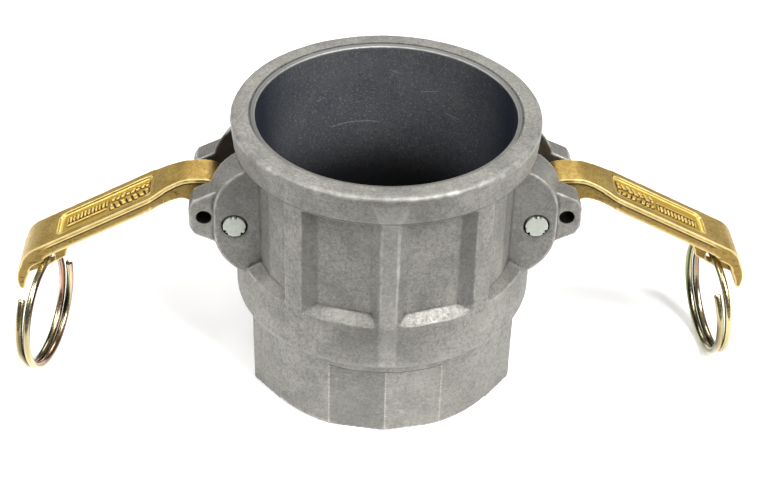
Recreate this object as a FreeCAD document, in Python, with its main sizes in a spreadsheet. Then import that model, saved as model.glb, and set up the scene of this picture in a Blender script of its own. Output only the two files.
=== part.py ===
import FreeCAD, Part
import math
import os
import Sketcher

# Two-inch cam and groove coupling, socket end up, female pipe thread down.
# Millimetres, +Z up. The origin is the centre of the bottom face, on the
# axis of the bore. The two arms lie along +X and -X.

V3 = FreeCAD.Vector
doc = FreeCAD.newDocument("coupling")
sheet = doc.addObject("Spreadsheet::Sheet", "Dims")

# ---------------------------------------------------------------- dimensions
CELLS = [
    # body, turned outline (radius and height)
    ("height", 74.4), ("base_rad", 34.35), ("base_rad_top", 34.7), ("base_top", 22.0),
    ("base_bevel", 0.6), ("skirt_low_rad", 36.7), ("skirt_low", 23.2),
    ("skirt_rad", 37.8), ("skirt_z1", 25.6), ("skirt_z2", 29.5), ("skirt_r1", 2.6),
    ("wall_rad_low", 37.1), ("wall_z1", 35.5), ("skirt_r2", 26.0),
    ("wall_rad", 36.9), ("wall_top", 66.0), ("rim_rad", 38.2), ("rim_low_rad", 37.55), ("rim_low", 66.9),
    ("rim_round", 1.15), ("rim_flat_rad", 37.05),
    # body, inside
    ("bore_rad", 32.1), ("lip_deep", 0.5), ("lip_wide", 1.35), ("recess_rad", 33.5), ("recess_low", 22.3),
    ("recess_high", 29.0), ("port_rad", 26.0), ("thread_rad", 28.9), ("thread_len", 19.0),
    ("thread_bevel", 1.4), ("port_bevel", 2.2),
    # cast pockets in the wall
    ("floor_rad", 35.0), ("pocket_top", 66.0), ("pocket_low", 38.5), ("pocket_end", 35.7),
    ("az_c_rib", 2.75), ("az_c_floor", 6.45), ("az_o_floor", 29.15), ("az_o_rib", 35.4),
    ("pocket_out", 40.5), ("facet_rad", 37.5), ("facet_mid_rad", 37.9),
    ("az_s_rib", 41.9), ("az_s_floor", 42.9), ("side_floor_rad", 35.6),
    ("az_s_mid", 56.0), ("side_mid_rad", 34.5), ("side_end_x", 30.85), ("side_low_x", 35.4), ("side_skin", 0.05),
    # ears
    ("slot_half", 6.2), ("ear_front", 13.3), ("lobe_front", 12.3),
    ("ear_x0", 25.0), ("ear_cx", 29.5),
    ("ear_in_r", 14.0), ("ear_in_zu", 54.3), ("ear_in_zl", 45.3),
    ("ear_out_r", 12.75), ("ear_out_zu", 53.0), ("ear_out_zl", 46.4),
    ("lobe_x0", 38.0), ("lobe_zu0", 60.2), ("lobe_x1", 47.3), ("lobe_zu1", 55.8),
    ("lobe_x2", 48.5), ("lobe_zu2", 53.6), ("lobe_zl2", 48.2), ("lobe_zl1", 46.0), ("lobe_zl0", 41.8),
    ("slot_x0", 28.0), ("slot_x1", 52.0), ("slot_low", 38.2), ("slot_high", 60.2),
    # pivot pins and safety-clip holes
    ("pin_x", 37.3), ("pin_z", 49.0), ("pin_rad", 3.0), ("pin_end", 13.6),
    ("pin_sink", 0.45), ("notch_depth", 0.55), ("notch_half", 0.6), ("notch_len", 8.0),
    ("clip_x", 44.8), ("clip_z", 51.0), ("clip_rad", 1.8),
    # wrench flats at the foot, front and back
    ("flat_dist", 33.4), ("flat_az", 10.5), ("flat_high", 19.6), ("flat_out", 45.0), ("flat_half", 8.1),
    # flat sides of the foot, under the arms, with their corners
    ("side_x", 33.5), ("side_y", 12.9), ("side_az", 52.0), ("side_high", 22.4),
    # seal
    ("seal_in", 25.4), ("seal_out", 33.3), ("seal_low", 22.3), ("seal_high", 28.65), ("seal_round", 0.5),
    # arm, side outline in the pose of the photograph (x, z), hub at the pivot
    ("arm_half", 6.5), ("neck_half", 4.6), ("hub_half", 5.2), ("arm_hole", 3.08),
    # fin with the ring's eye
    ("fin_half", 1.25), ("eye_x", 86.4), ("eye_z", 30.9), ("eye_rad", 1.95),
    # recessed panel on the handle
    ("panel_depth", 0.7), ("panel_half", 4.3),
    # pull rings
    ("ring_rad", 15.1), ("wire_rad", 0.9), ("ring_pitch", 1.9), ("ring_turns", 1.69),
    ("ring_x", 86.2), ("ring_z", 31.0),
]
VAL = {}
for row, (name, value) in enumerate(CELLS, start=1):
    sheet.set("A%d" % row, name)
    sheet.set("B%d" % row, str(value))
    sheet.setAlias("B%d" % row, name)
    VAL[name] = float(value)
doc.recompute()


class Q:
    """A number together with the sheet formula that gives it."""

    def __init__(self, v, s):
        self.v, self.s = float(v), s

    def _w(o):
        return o if isinstance(o, Q) else Q(o, repr(float(o)))

    def __add__(self, o):
        o = Q._w(o)
        return Q(self.v + o.v, "(%s + %s)" % (self.s, o.s))

    def __sub__(self, o):
        o = Q._w(o)
        return Q(self.v - o.v, "(%s - %s)" % (self.s, o.s))

    def __mul__(self, o):
        o = Q._w(o)
        return Q(self.v * o.v, "(%s * %s)" % (self.s, o.s))

    def __truediv__(self, o):
        o = Q._w(o)
        return Q(self.v / o.v, "(%s / %s)" % (self.s, o.s))

    def __neg__(self):
        return Q(-self.v, "(-1 * %s)" % self.s)


def D(name):
    return Q(VAL[name], "Dims." + name)


def K(v):
    return Q(v, repr(float(v)))


def polar(rad, az, sx=1, sy=-1):
    """Plan point at a radius and an azimuth from the front; sx, sy choose the quarter."""
    a = math.radians(az.v)
    x = Q(rad.v * math.sin(a) * sx, "(%d * %s * sin(%s * 1 deg))" % (sx, rad.s, az.s))
    y = Q(rad.v * math.cos(a) * sy, "(%d * %s * cos(%s * 1 deg))" % (sy, rad.s, az.s))
    return x, y


def plane(body, role):
    return [o for o in body.Origin.OriginFeatures if o.Role == role][0]


def sketch(body, name, role, offset=None):
    sk = body.newObject("Sketcher::SketchObject", name)
    sk.AttachmentSupport = [(plane(body, role), "")]
    sk.MapMode = "FlatFace"
    if offset is not None:
        sk.AttachmentOffset = FreeCAD.Placement(V3(0, 0, offset.v), FreeCAD.Rotation())
        sk.setExpression("AttachmentOffset.Base.z", offset.s)
    return sk


def fix_point(sk, geo, pos, x, y, tag):
    i = sk.addConstraint(Sketcher.Constraint("DistanceX", -1, 1, geo, pos, x.v))
    sk.renameConstraint(i, tag + "x")
    sk.setExpression("Constraints." + tag + "x", x.s)
    i = sk.addConstraint(Sketcher.Constraint("DistanceY", -1, 1, geo, pos, y.v))
    sk.renameConstraint(i, tag + "y")
    sk.setExpression("Constraints." + tag + "y", y.s)


def outline(sk, pts, arcs=None):
    """Closed outline through pts. arcs: {i: (radius, bulge)} makes edge i an arc;
    bulge +1 swings to the right of the way from point i to the next, -1 to the left."""
    arcs = arcs or {}
    n = len(pts)
    ids = []
    for i in range(n):
        a, b = pts[i], pts[(i + 1) % n]
        pa, pb = V3(a[0].v, a[1].v, 0), V3(b[0].v, b[1].v, 0)
        if i in arcs:
            r, side = arcs[i]
            d = pb - pa
            half = d.Length / 2
            mid = (pa + pb) * 0.5
            right = V3(d.y, -d.x, 0)
            right.normalize()
            sag = r.v - math.sqrt(max(r.v * r.v - half * half, 0))
            g = Part.Arc(pa, mid + right * (sag * side), pb)
        else:
            g = Part.LineSegment(pa, pb)
        ids.append(sk.addGeometry(g, False))

    def ends(i):
        # the sketcher keeps arcs counter-clockwise, so the start may be point 2
        if i not in arcs:
            return 1, 2
        return (1, 2) if arcs[i][1] > 0 else (2, 1)

    for i in range(n):
        j = (i + 1) % n
        sk.addConstraint(Sketcher.Constraint("Coincident", ids[i], ends(i)[1], ids[j], ends(j)[0]))
    for i in range(n):
        fix_point(sk, ids[i], ends(i)[0], pts[i][0], pts[i][1], "p%d" % i)
    for i, (r, side) in arcs.items():
        k = sk.addConstraint(Sketcher.Constraint("Radius", ids[i], r.v))
        sk.renameConstraint(k, "r%d" % i)
        sk.setExpression("Constraints.r%d" % i, r.s)


def circle(sk, x, y, r, tag="c"):
    g = sk.addGeometry(Part.Circle(V3(x.v, y.v, 0), V3(0, 0, 1), r.v), False)
    fix_point(sk, g, 3, x, y, tag)
    k = sk.addConstraint(Sketcher.Constraint("Radius", g, r.v))
    sk.renameConstraint(k, tag + "r")
    sk.setExpression("Constraints." + tag + "r", r.s)


def feature(body, kind, name, profile, **kw):
    f = body.newObject("PartDesign::" + kind, name)
    f.Profile = (profile, [""])
    for k, v in kw.items():
        if isinstance(v, Q):
            setattr(f, k, v.v)
            f.setExpression(k, v.s)
        else:
            setattr(f, k, v)
    return f


def spin(body, kind, name, sk):
    f = body.newObject("PartDesign::" + kind, name)
    f.Profile = (sk, [""])
    f.ReferenceAxis = (sk, ["V_Axis"])
    f.Angle = 360
    return f


# ------------------------------------------------------------------- body
body = doc.addObject("PartDesign::Body", "Body")
body.Label = "body"

# turned outline of the casting: foot, skirt, wall and rim
sk = sketch(body, "OutlineSketch", "XZ_Plane")
outline(sk, [
    (K(0), K(0)),
    (D("base_rad") - D("base_bevel"), K(0)),
    (D("base_rad"), D("base_bevel")),
    (D("base_rad_top"), D("base_top")),
    (D("skirt_low_rad"), D("skirt_low")),
    (D("skirt_rad"), D("skirt_z1")),
    (D("skirt_rad"), D("skirt_z2")),
    (D("wall_rad_low"), D("wall_z1")),
    (D("wall_rad"), D("wall_top")),
    (D("rim_low_rad"), D("rim_low")),
    (D("rim_rad"), D("height") - D("rim_round")),
    (D("rim_flat_rad"), D("height")),
    (K(0), D("height")),
], {4: (D("skirt_r1"), 1), 6: (D("skirt_r2"), 1), 10: (D("rim_round"), 1)})
spin(body, "Revolution", "Casting", sk)


# foot: straight-sided under the arms, with a corner each side of the flat
sk = sketch(body, "FootCorners", "XY_Plane")
ft = [polar(D("base_rad"), D("side_az"), ax, ay) for ax, ay in ((-1, -1), (1, -1), (1, 1), (-1, 1))]
outline(sk, [
    ft[0], ft[1], (D("side_x"), -D("side_y")), (D("side_x"), D("side_y")),
    ft[2], ft[3], (-D("side_x"), D("side_y")), (-D("side_x"), -D("side_y")),
])
feature(body, "Pad", "Foot", sk, Length=D("side_high"))
for sx in (-1, 1):
    sk = sketch(body, "SideFlat" + ("L" if sx < 0 else "R"), "XY_Plane", K(-1))
    outline(sk, [
        (D("side_x") * sx, K(-14)), (K(45 * sx), K(-14)), (K(45 * sx), K(14)), (D("side_x") * sx, K(14)),
    ])
    f = feature(body, "Pocket", "SideCut" + ("L" if sx < 0 else "R"), sk, Length=D("side_high") + 1)
    f.Reversed = True


def plan_cut(name, pts_top, pts_end, sx, sy):
    """Cast pocket: straight down from under the rim, then a sloped facet at its foot."""
    s1 = sketch(body, name + "Top", "XY_Plane", D("pocket_top"))
    outline(s1, pts_top)
    s2 = sketch(body, name + "Mid", "XY_Plane", D("pocket_low"))
    outline(s2, pts_top)
    s3 = sketch(body, name + "End", "XY_Plane", D("pocket_end"))
    outline(s3, pts_end)
    f = body.newObject("PartDesign::SubtractiveLoft", name)
    f.Profile = (s1, [""])
    f.Sections = [(s2, [""]), (s3, [""])]
    f.Ruled = True
    return f


for sx in (-1, 1):
    for sy in (-1, 1):
        tag = ("L" if sx < 0 else "R") + ("F" if sy < 0 else "B")
        # main pocket, between the middle rib and the outer rib
        e1 = polar(D("facet_rad"), D("az_c_rib"), sx, sy)
        f1 = polar(D("floor_rad"), D("az_c_floor"), sx, sy)
        f2 = polar(D("floor_rad"), D("az_o_floor"), sx, sy)
        e2 = polar(D("facet_rad"), D("az_o_rib"), sx, sy)
        mid_az = (D("az_c_floor") + D("az_o_floor")) * 0.5
        chord = Q(VAL["floor_rad"] * math.cos(math.radians((VAL["az_o_floor"] - VAL["az_c_floor"]) / 2)),
                  "(Dims.floor_rad * cos((Dims.az_o_floor - Dims.az_c_floor) * 0.5 deg))")
        fm = polar(chord, mid_az, sx, sy)
        o1 = polar(D("pocket_out"), D("az_c_rib"), sx, sy)
        o2 = polar(D("pocket_out"), D("az_o_rib"), sx, sy)
        g1 = polar(D("facet_rad"), D("az_c_rib"), sx, sy)
        gm = polar(D("facet_mid_rad"), mid_az, sx, sy)
        g2 = polar(D("facet_rad"), D("az_o_rib"), sx, sy)
        k1 = polar(D("facet_rad") + 0.05, D("az_c_rib") + 0.6, sx, sy)
        k2 = polar(D("facet_rad") + 0.05, D("az_o_rib") - 0.6, sx, sy)
        plan_cut("Pocket" + tag, [o1, e1, f1, fm, f2, e2, o2], [o1, g1, k1, gm, k2, g2, o2], sx, sy)
        # side pocket, between the outer rib and the ear
        a0 = polar(D("pocket_out"), D("az_s_rib"), sx, sy)
        a1 = polar(D("facet_rad"), D("az_s_rib"), sx, sy)
        a2 = polar(D("side_floor_rad"), D("az_s_floor"), sx, sy)
        a3 = polar(D("side_mid_rad"), D("az_s_mid"), sx, sy)
        fy = (D("ear_front") - D("side_skin")) * sy
        a4 = (D("side_end_x") * sx, fy)
        a5 = (D("pocket_out") * sx, fy)
        b2 = polar(D("facet_rad") + 0.05, D("az_s_rib") + 0.6, sx, sy)
        b3 = polar(D("facet_rad") + 0.3, D("az_s_mid"), sx, sy)
        b4 = (D("side_low_x") * sx, fy)
        plan_cut("SidePocket" + tag, [a0, a1, a2, a3, a4, a5], [a0, a1, b2, b3, b4, a5], sx, sy)

# ears: two plates a side, with a drafted edge, and a lobe on each for the safety clip
for sx in (-1, 1):
    for sy in (-1, 1):
        tag = ("L" if sx < 0 else "R") + ("F" if sy < 0 else "B")
        w = 1 if sy < 0 else -1      # the plane's normal is -Y

        def ear_outline(s, r, zu, zl):
            cx = D("ear_cx") * sx
            pts = [
                (D("ear_x0") * sx, zl - r), (cx, zl - r), (cx + r * sx, zl),
                (cx + r * sx, zu), (cx, zu + r), (D("ear_x0") * sx, zu + r),
            ]
            outline(s, pts, {1: (r, sx), 3: (r, sx)})

        s1 = sketch(body, "EarIn" + tag, "XZ_Plane", D("slot_half") * w)
        ear_outline(s1, D("ear_in_r"), D("ear_in_zu"), D("ear_in_zl"))
        s2 = sketch(body, "EarOut" + tag, "XZ_Plane", D("ear_front") * w)
        ear_outline(s2, D("ear_out_r"), D("ear_out_zu"), D("ear_out_zl"))
        f = body.newObject("PartDesign::AdditiveLoft", "Ear" + tag)
        f.Profile = (s1, [""])
        f.Sections = [(s2, [""])]
        f.Ruled = True
        s3 = sketch(body, "LobeSketch" + tag, "XZ_Plane", D("slot_half") * w)
        outline(s3, [
            (D("lobe_x0") * sx, D("lobe_zl0")), (D("lobe_x1") * sx, D("lobe_zl1")),
            (D("lobe_x2") * sx, D("lobe_zl2")), (D("lobe_x2") * sx, D("lobe_zu2")),
            (D("lobe_x1") * sx, D("lobe_zu1")), (D("lobe_x0") * sx, D("lobe_zu0")),
        ])
        p = feature(body, "Pad", "Lobe" + tag, s3, Length=D("lobe_front") - D("slot_half"))
        p.Reversed = sy > 0

# inside: gasket recess, bore, port and threaded socket, turned from one outline
sk = sketch(body, "InsideSketch", "XZ_Plane")
outline(sk, [
    (K(0), K(-1)),
    (D("thread_rad") + D("thread_bevel") + 1, K(-1)),
    (D("thread_rad"), D("thread_bevel")),
    (D("thread_rad"), D("thread_len")),
    (D("port_rad"), D("thread_len") + D("port_bevel")),
    (D("port_rad"), D("recess_low")),
    (D("recess_rad"), D("recess_low")),
    (D("recess_rad"), D("recess_high")),
    (D("bore_rad"), D("recess_high")),
    (D("bore_rad"), D("height") - D("lip_deep")),
    (D("bore_rad") + D("lip_wide") * 2, D("height") + D("lip_deep")),
    (K(0), D("height") + D("lip_deep")),
])
spin(body, "Groove", "Inside", sk)

# the slots that the arms work in
for sx in (-1, 1):
    tag = "L" if sx < 0 else "R"
    sk = sketch(body, "SlotSketch" + tag, "XZ_Plane")
    outline(sk, [
        (D("slot_x0") * sx, D("slot_low")), (D("slot_x1") * sx, D("slot_low")),
        (D("slot_x1") * sx, D("slot_high")), (D("slot_x0") * sx, D("slot_high")),
    ])
    f = feature(body, "Pocket", "Slot" + tag, sk, Length=D("slot_half") * 2)
    f.SideType = "Symmetric"

# pivot holes and safety-clip holes, through both ears
sk = sketch(body, "CrossHolesSketch", "XZ_Plane")
for k, sx in enumerate((-1, 1)):
    circle(sk, D("pin_x") * sx, D("pin_z"), D("pin_rad"), "piv%d" % k)
    circle(sk, D("clip_x") * sx, D("clip_z"), D("clip_rad"), "clip%d" % k)
f = feature(body, "Pocket", "CrossHoles", sk, Length=D("ear_front") * 2 + 4)
f.SideType = "Symmetric"

# small countersinks round the pins on the outer faces
for sx in (-1, 1):
    for w in (1, -1):
        tag = ("L" if sx < 0 else "R") + ("F" if w > 0 else "B")
        s1 = sketch(body, "SinkOut" + tag, "XZ_Plane", D("ear_front") * w)
        circle(s1, D("pin_x") * sx, D("pin_z"), D("pin_rad") + D("pin_sink"))
        s2 = sketch(body, "SinkIn" + tag, "XZ_Plane", (D("ear_front") - 0.6) * w)
        circle(s2, D("pin_x") * sx, D("pin_z"), D("pin_rad") + 0.01)
        f = body.newObject("PartDesign::SubtractiveLoft", "Sink" + tag)
        f.Profile = (s1, [""])
        f.Sections = [(s2, [""])]
        f.Ruled = True

# wrench flats at the foot: two that meet in the middle of the front, two at the back
for sy in (-1, 1):
    for sx in (-1, 1):
        tag = ("L" if sx < 0 else "R") + ("F" if sy < 0 else "B")
        n = polar(K(1), D("flat_az"), sx, sy)
        t = (n[1] * sx * sy, n[0] * -1.0 * sx * sy)

        def fp(dist, along):
            return (n[0] * dist + t[0] * along, n[1] * dist + t[1] * along)

        c = D("flat_dist") * Q(math.tan(math.radians(VAL["flat_az"])), "tan(Dims.flat_az * 1 deg)")
        sk = sketch(body, "FlatSketch" + tag, "XY_Plane", K(-1))
        outline(sk, [
            fp(D("flat_dist"), -c - 1.0), fp(D("flat_dist"), D("flat_half")),
            fp(D("flat_out"), D("flat_half")), fp(D("flat_out"), -c - 1.0),
        ])
        f = feature(body, "Pocket", "Flat" + tag, sk, Length=D("flat_high") + 1)
        f.Reversed = True

doc.recompute()

# ------------------------------------------------------------------- seal
seal = doc.addObject("PartDesign::Body", "Seal")
seal.Label = "gasket"
sk = sketch(seal, "SealSketch", "XZ_Plane")
sr = D("seal_round")
outline(sk, [
    (D("seal_in"), D("seal_low") + sr), (D("seal_in") + sr, D("seal_low")),
    (D("seal_out") - sr, D("seal_low")), (D("seal_out"), D("seal_low") + sr),
    (D("seal_out"), D("seal_high") - sr), (D("seal_out") - sr, D("seal_high")),
    (D("seal_in") + sr, D("seal_high")), (D("seal_in"), D("seal_high") - sr),
], {0: (sr, 1), 2: (sr, 1), 4: (sr, 1), 6: (sr, 1)})
spin(seal, "Revolution", "SealRing", sk)

# ------------------------------------------------------------------- pins
pins = {}
for side, sx in (("left", -1), ("right", 1)):
    pb = doc.addObject("PartDesign::Body", "Pin" + side.capitalize())
    pb.Label = "pin_" + side
    sk = sketch(pb, "PinSketch", "XZ_Plane")
    circle(sk, K(0), K(0), D("pin_rad"))
    f = feature(pb, "Pad", "PinPad", sk, Length=D("pin_end") * 2)
    f.SideType = "Symmetric"
    last = f
    for w in (1, -1):
        s = sketch(pb, "NotchSketch" + ("F" if w > 0 else "B"), "XZ_Plane", D("pin_end") * w)
        outline(s, [
            (D("notch_half"), D("pin_rad") + 0.4), (K(0), D("pin_rad") - D("notch_depth")),
            (-D("notch_half"), D("pin_rad") + 0.4),
        ])
        f = feature(pb, "Pocket", "Notch" + ("F" if w > 0 else "B"), s, Length=D("notch_len"))
        f.Reversed = w < 0
        doc.recompute()
        pp = pb.newObject("PartDesign::PolarPattern", "Notches" + ("F" if w > 0 else "B"))
        pp.Originals = [f]
        pp.Axis = (plane(pb, "Y_Axis"), [""])
        pp.Angle = 360
        pp.Occurrences = 3
        pb.Tip = pp
    turn = 16 if sx < 0 else -17
    pb.Placement = FreeCAD.Placement(V3(sx * VAL["pin_x"], 0, VAL["pin_z"]), FreeCAD.Rotation(V3(0, 1, 0), -turn))
    pb.setExpression("Placement.Base.x", "%d * Dims.pin_x" % sx)
    pb.setExpression("Placement.Base.z", "Dims.pin_z")
    pins[side] = pb
doc.recompute()

# ------------------------------------------------------------------- arms
# Side outline of the arm on the +X side, open as in the photograph. The nose
# points down past the bore; closing the arm turns it in through the slot.
ARM = [
    # x, z, arc radius to the next point (0 = straight), side
    (32.45, 49.0, 0, 0), (32.45, 41.6, 1.6, 1), (34.05, 39.75, 0, 0), (35.6, 39.3, 7.2, 1),
    (43.2, 42.1, 0, 0), (47.6, 47.4, 3.4, -1), (52.2, 50.7, 9.0, -1),
    (56.2, 49.0, 0, 0), (85.0, 34.0, 0, 0), (88.6, 32.1, 3.6, -1), (90.6, 28.9, 9.0, -1),
    (92.05, 24.75, 0.75, 1), (93.35, 24.75, 9.0, 1), (92.45, 31.9, 7.5, 1), (88.9, 36.75, 0, 0),
    (57.4, 53.15, 30.0, 1), (51.9, 56.1, 9.0, 1), (48.2, 57.0, 0, 0), (44.8, 57.0, 6.0, 1),
    (40.6, 54.95, 0, 0), (38.6, 54.35, 0, 0), (36.3, 53.85, 4.96, 1),
]
for i, (x, z, r, s) in enumerate(ARM):
    base = 200 + 3 * i
    for j, (suffix, value) in enumerate((("x", x), ("z", z), ("r", r))):
        name = "arm_%s_%s" % (suffix, "abcdefghijklmnopqrstuvwxyz"[i])
        cell = "B%d" % (base + j)
        sheet.set("A%d" % (base + j), name)
        sheet.set(cell, str(value))
        sheet.setAlias(cell, name)
        VAL[name] = float(value)
doc.recompute()


def arm_pt(i):
    c = "abcdefghijklmnopqrstuvwxyz"[i]
    return D("arm_x_" + c), D("arm_z_" + c)


arm = doc.addObject("PartDesign::Body", "ArmRight")
arm.Label = "arm_right"
sk = sketch(arm, "ArmSketch", "XZ_Plane")
arcs = {}
for i, (x, z, r, s) in enumerate(ARM):
    if r:
        arcs[i] = (D("arm_r_" + "abcdefghijklmnopqrstuvwxyz"[i]), s)
outline(sk, [arm_pt(i) for i in range(len(ARM))], arcs)
f = feature(arm, "Pad", "ArmPad", sk, Length=D("arm_half") * 2)
f.SideType = "Symmetric"

# waist at the neck and the slightly wider hub, cut from above on both sides
for sy in (-1, 1):
    s = sketch(arm, "WaistSketch" + ("F" if sy < 0 else "B"), "XY_Plane", K(70))
    outline(s, [
        (K(28), D("hub_half") * sy), (K(40.5), D("hub_half") * sy), (K(42.5), D("neck_half") * sy),
        (K(47.0), D("neck_half") * sy), (K(58.5), D("arm_half") * sy), (K(58.5), (D("arm_half") + 2) * sy),
        (K(28), (D("arm_half") + 2) * sy),
    ], {3: (K(30.0), sy)})
    f = feature(arm, "Pocket", "Waist" + ("F" if sy < 0 else "B"), s, Length=K(40))

# fin under the tip, with the eye for the ring
s = sketch(arm, "FinSketch", "XZ_Plane")
outline(s, [
    (K(79.2), K(38.2)), (K(80.0), K(34.6)), (K(81.5), K(31.1)), (K(87.0), K(27.55)), (K(92.3), K(25.6)),
    (K(92.3), K(29.5)), (K(88.5), K(34.5)),
], {1: (K(5.0), -1)})
f = feature(arm, "Pad", "Fin", s, Length=D("fin_half") * 2)
f.SideType = "Symmetric"

# long shallow panel sunk in the top of the handle
s = sketch(arm, "PanelSketch", "XZ_Plane")
outline(s, [
    (K(57.5), K(53.8)), (K(58.7), K(52.47) - D("panel_depth") * 1.13),
    (K(82.2), K(40.24) - D("panel_depth") * 1.13), (K(84.0), K(40.6)),
])
f = feature(arm, "Pocket", "Panel", s, Length=D("panel_half") * 2)
f.SideType = "Symmetric"

# pivot hole and the ring's eye
s = sketch(arm, "ArmHoles", "XZ_Plane")
circle(s, D("pin_x"), D("pin_z"), D("arm_hole"), "pivot")
circle(s, D("eye_x"), D("eye_z"), D("eye_rad"), "eye")
f = feature(arm, "Pocket", "ArmHolesCut", s, Length=K(20))
f.SideType = "Symmetric"
doc.recompute()
print("arm volume", round(arm.Shape.Volume, 1), "valid", arm.Shape.isValid())

# the other arm is the same casting, half a turn round the bore's axis
arm2 = doc.addObject("Part::Mirroring", "ArmLeft")
arm2.Label = "arm_left"
arm2.Source = arm
arm2.Normal = V3(1, 0, 0)
arm2.Base = V3(0, 0, 0)
doc.recompute()

# ------------------------------------------------------------------- rings
rings = {}
for side, sx, psi, lean, phi in (("left", -1, -12.5, 3.2, -13.0), ("right", 1, 6.0, -5.0, 9.0)):
    rb = doc.addObject("PartDesign::Body", "Ring" + side.capitalize())
    rb.Label = "ring_" + side
    s = sketch(rb, "WireSketch", "XZ_Plane")
    circle(s, D("ring_rad"), K(0), D("wire_rad"))
    h = rb.newObject("PartDesign::AdditiveHelix", "Coil")
    h.Profile = (s, [""])
    h.ReferenceAxis = (s, ["V_Axis"])
    h.Mode = "pitch-turns-angle"
    h.Pitch = VAL["ring_pitch"]
    h.Turns = VAL["ring_turns"]
    h.Angle = 0
    h.setExpression("Pitch", "Dims.ring_pitch")
    h.setExpression("Turns", "Dims.ring_turns")
    rings[side] = (rb, sx, psi, lean, phi)
doc.recompute()
for side, (rb, sx, psi, lean, phi) in rings.items():
    # ring axis level, along the arm's own direction turned by psi; the middle of the
    # wire's run sits in the eye at the top
    p, t_ = math.radians(psi), math.radians(lean)
    n0 = V3(math.cos(p), math.sin(p), 0)
    a = V3(math.sin(p), -math.cos(p), 0)
    b = V3(0, 0, math.cos(t_)) + n0 * math.sin(t_)
    n = V3(n0.x * math.cos(t_), n0.y * math.cos(t_), -math.sin(t_))
    # ring frame: w along the axis, u at the top of the ring
    half = math.radians(360.0 * VAL["ring_turns"] / 2)
    c_ = math.radians(phi)
    u, w = b * math.cos(c_) + a * math.sin(c_), n
    v = w.cross(u)
    # local X is where the wire starts, half the sweep before the top
    lx = u * math.cos(half) - v * math.sin(half)
    ly = w.cross(lx)
    m = FreeCAD.Matrix(lx.x, ly.x, w.x, 0, lx.y, ly.y, w.y, 0, lx.z, ly.z, w.z, 0, 0, 0, 0, 1)
    top = V3(sx * VAL["ring_x"], 0, VAL["ring_z"])
    base = top - u * VAL["ring_rad"] - w * (VAL["ring_pitch"] * VAL["ring_turns"] / 2)
    rb.Placement = FreeCAD.Placement(base, FreeCAD.Rotation(m))
doc.recompute()

# ------------------------------------------------------------------- write
NODES = [body, seal, pins["left"], pins["right"], arm, arm2, rings["left"][0], rings["right"][0]]
for o in doc.Objects:
    bad = [s for s in o.State if s in ("Invalid", "Error")]
    if bad:
        raise RuntimeError("%s is %s" % (o.Name, bad))
os.makedirs("parts", exist_ok=True)
for o in NODES:
    s = o.Shape
    if s.isNull() or not s.isValid() or len(s.Solids) != 1:
        raise RuntimeError("%s: null %s valid %s solids %d" % (o.Label, s.isNull(), s.isValid(), len(s.Solids)))
    bb = s.BoundBox
    print("%-10s vol %9.1f  x %.2f..%.2f  y %.2f..%.2f  z %.2f..%.2f" % (
        o.Label, s.Volume, bb.XMin, bb.XMax, bb.YMin, bb.YMax, bb.ZMin, bb.ZMax))
    s.exportStep("parts/" + o.Label + ".step")
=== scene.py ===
import math

import bmesh
import bpy
import numpy as np
from mathutils import Matrix, Vector


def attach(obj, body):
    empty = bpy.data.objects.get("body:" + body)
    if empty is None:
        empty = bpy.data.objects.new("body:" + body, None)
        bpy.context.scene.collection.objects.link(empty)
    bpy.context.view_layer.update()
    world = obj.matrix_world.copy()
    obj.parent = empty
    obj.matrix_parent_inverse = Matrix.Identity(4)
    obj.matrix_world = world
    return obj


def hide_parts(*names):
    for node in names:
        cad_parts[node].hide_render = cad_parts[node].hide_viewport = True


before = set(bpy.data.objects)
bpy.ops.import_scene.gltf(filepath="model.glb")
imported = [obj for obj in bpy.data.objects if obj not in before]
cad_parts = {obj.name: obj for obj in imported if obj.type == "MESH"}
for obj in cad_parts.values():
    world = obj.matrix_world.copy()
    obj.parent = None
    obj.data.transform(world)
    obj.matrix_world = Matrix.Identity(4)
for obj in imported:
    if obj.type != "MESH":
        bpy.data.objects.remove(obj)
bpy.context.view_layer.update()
MM = 0.001

scene = bpy.context.scene
scene.view_settings.view_transform = "Standard"
scene.view_settings.look = "None"


# ------------------------------------------------------------------ mesh help
def new_object(name, mesh):
    ob = bpy.data.objects.new(name, mesh)
    scene.collection.objects.link(ob)
    return ob


def copy_node(node, name):
    """A welded copy of a CAD node's mesh, as a new object."""
    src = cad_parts[node]
    me = src.data.copy()
    me.name = name
    me.materials.clear()
    bm = bmesh.new()
    bm.from_mesh(me)
    bmesh.ops.remove_doubles(bm, verts=bm.verts, dist=2e-6)
    bm.to_mesh(me)
    bm.free()
    for attr in [a.name for a in me.color_attributes]:
        me.color_attributes.remove(me.color_attributes[attr])
    while me.uv_layers:
        me.uv_layers.remove(me.uv_layers[0])
    if me.has_custom_normals:
        ob = new_object(name, me)
        bpy.context.view_layer.objects.active = ob
        with bpy.context.temp_override(object=ob, active_object=ob, selected_objects=[ob]):
            bpy.ops.mesh.customdata_custom_splitnormals_clear()
        return ob
    return new_object(name, me)


def coords(me):
    co = np.empty(len(me.vertices) * 3, np.float64)
    me.vertices.foreach_get("co", co)
    return co.reshape(-1, 3)


def set_coords(me, co):
    me.vertices.foreach_set("co", co.reshape(-1).astype(np.float32))
    me.update()


def normals(me):
    no = np.empty(len(me.vertices) * 3, np.float64)
    me.vertices.foreach_get("normal", no)
    return no.reshape(-1, 3)


def bake_modifiers(ob):
    dg = bpy.context.evaluated_depsgraph_get()
    me = bpy.data.meshes.new_from_object(ob.evaluated_get(dg))
    old = ob.data
    ob.modifiers.clear()
    ob.data = me
    bpy.data.meshes.remove(old)
    return ob


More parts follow.
